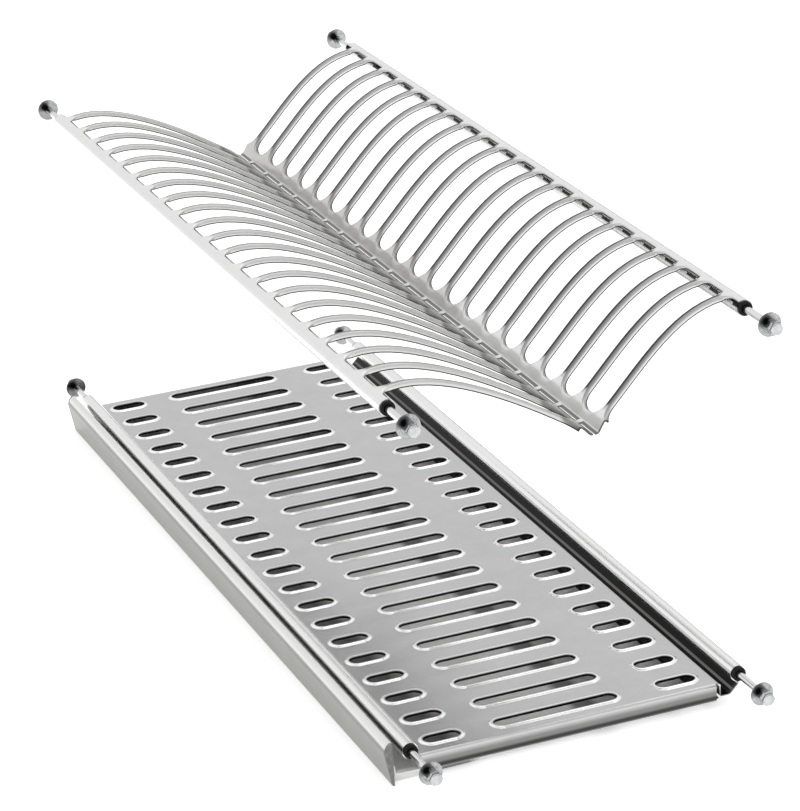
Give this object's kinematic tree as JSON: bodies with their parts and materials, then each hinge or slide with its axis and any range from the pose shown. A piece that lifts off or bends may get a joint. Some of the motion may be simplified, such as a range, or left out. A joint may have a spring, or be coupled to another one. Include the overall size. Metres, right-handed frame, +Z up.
{
  "type": "cabinet dish drainer",
  "caption": "Pressed steel plate rack with a V-shaped valley above a flat slotted glass rack and a sliding drip tray, held by sprung pins between two cabinet sides.",
  "frame": {"origin": "centre of the bounding box", "axes": "+X along the rolled tubes towards the right cabinet side, -Y to the front, +Z up"},
  "size_m": [0.784, 0.2684, 0.2816],
  "materials": {
    "rack": "satin, smooth pressed stainless steel",
    "tray": "satin sheet",
    "strip": "satin anodised",
    "cap": "matt moulded",
    "bush": "matt moulded",
    "pin": "bright turned",
    "washer": "zinc plated",
    "cap_nut": "zinc plated",
    "spring": "bare spring wire",
    "spring_stop": "matt moulded"
  },
  "bodies": {
    "racks": {"plate_rack": "rack", "glass_rack": "rack", "bush_plate_front_left": "bush", "spring_plate_front_left": "spring", "spring_stop_plate_front_left": "spring_stop", "bush_plate_front_right": "bush", "spring_plate_front_right": "spring", "spring_stop_plate_front_right": "spring_stop", "bush_plate_rear_left": "bush", "spring_plate_rear_left": "spring", "spring_stop_plate_rear_left": "spring_stop", "bush_plate_rear_right": "bush", "spring_plate_rear_right": "spring", "spring_stop_plate_rear_right": "spring_stop", "bush_glass_front_left": "bush", "spring_glass_front_left": "spring", "spring_stop_glass_front_left": "spring_stop", "bush_glass_front_right": "bush", "spring_glass_front_right": "spring", "spring_stop_glass_front_right": "spring_stop", "bush_glass_rear_left": "bush", "spring_glass_rear_left": "spring", "spring_stop_glass_rear_left": "spring_stop", "bush_glass_rear_right": "bush", "spring_glass_rear_right": "spring", "spring_stop_glass_rear_right": "spring_stop"},
    "tray": {"drip_tray": "tray", "tray_front": "strip", "tray_front_cap_left": "cap", "tray_front_cap_right": "cap"},
    "pin_plate_front_left": {"pin_plate_front_left": "pin", "washer_plate_front_left": "washer", "cap_nut_plate_front_left": "cap_nut"},
    "pin_plate_front_right": {"pin_plate_front_right": "pin", "washer_plate_front_right": "washer", "cap_nut_plate_front_right": "cap_nut"},
    "pin_plate_rear_left": {"pin_plate_rear_left": "pin", "washer_plate_rear_left": "washer", "cap_nut_plate_rear_left": "cap_nut"},
    "pin_plate_rear_right": {"pin_plate_rear_right": "pin", "washer_plate_rear_right": "washer", "cap_nut_plate_rear_right": "cap_nut"},
    "pin_glass_front_left": {"pin_glass_front_left": "pin", "washer_glass_front_left": "washer", "cap_nut_glass_front_left": "cap_nut"},
    "pin_glass_front_right": {"pin_glass_front_right": "pin", "washer_glass_front_right": "washer", "cap_nut_glass_front_right": "cap_nut"},
    "pin_glass_rear_left": {"pin_glass_rear_left": "pin", "washer_glass_rear_left": "washer", "cap_nut_glass_rear_left": "cap_nut"},
    "pin_glass_rear_right": {"pin_glass_rear_right": "pin", "washer_glass_rear_right": "washer", "cap_nut_glass_rear_right": "cap_nut"}
  },
  "joints": [
    {"name": "pin_push_plate_front_left", "type": "slide", "parent": "racks", "child": "pin_plate_front_left", "axis": [1, 0, 0], "range_m": [0, 0.012], "stiffness_N_per_m": 500, "springref_m": -0.004, "deforming": ["spring_plate_front_left"]},
    {"name": "pin_push_plate_front_right", "type": "slide", "parent": "racks", "child": "pin_plate_front_right", "axis": [-1, 0, 0], "range_m": [0, 0.012], "stiffness_N_per_m": 500, "springref_m": -0.004, "deforming": ["spring_plate_front_right"]},
    {"name": "pin_push_plate_rear_left", "type": "slide", "parent": "racks", "child": "pin_plate_rear_left", "axis": [1, 0, 0], "range_m": [0, 0.012], "stiffness_N_per_m": 500, "springref_m": -0.004, "deforming": ["spring_plate_rear_left"]},
    {"name": "pin_push_plate_rear_right", "type": "slide", "parent": "racks", "child": "pin_plate_rear_right", "axis": [-1, 0, 0], "range_m": [0, 0.012], "stiffness_N_per_m": 500, "springref_m": -0.004, "deforming": ["spring_plate_rear_right"]},
    {"name": "pin_push_glass_front_left", "type": "slide", "parent": "racks", "child": "pin_glass_front_left", "axis": [1, 0, 0], "range_m": [0, 0.012], "stiffness_N_per_m": 500, "springref_m": -0.004, "deforming": ["spring_glass_front_left"]},
    {"name": "pin_push_glass_front_right", "type": "slide", "parent": "racks", "child": "pin_glass_front_right", "axis": [-1, 0, 0], "range_m": [0, 0.012], "stiffness_N_per_m": 500, "springref_m": -0.004, "deforming": ["spring_glass_front_right"]},
    {"name": "pin_push_glass_rear_left", "type": "slide", "parent": "racks", "child": "pin_glass_rear_left", "axis": [1, 0, 0], "range_m": [0, 0.012], "stiffness_N_per_m": 500, "springref_m": -0.004, "deforming": ["spring_glass_rear_left"]},
    {"name": "pin_push_glass_rear_right", "type": "slide", "parent": "racks", "child": "pin_glass_rear_right", "axis": [-1, 0, 0], "range_m": [0, 0.012], "stiffness_N_per_m": 500, "springref_m": -0.004, "deforming": ["spring_glass_rear_right"]},
    {"name": "tray_slide", "type": "slide", "parent": "racks", "child": "tray", "axis": [0, -1, 0], "range_m": [0, 0.18]}
  ]
}
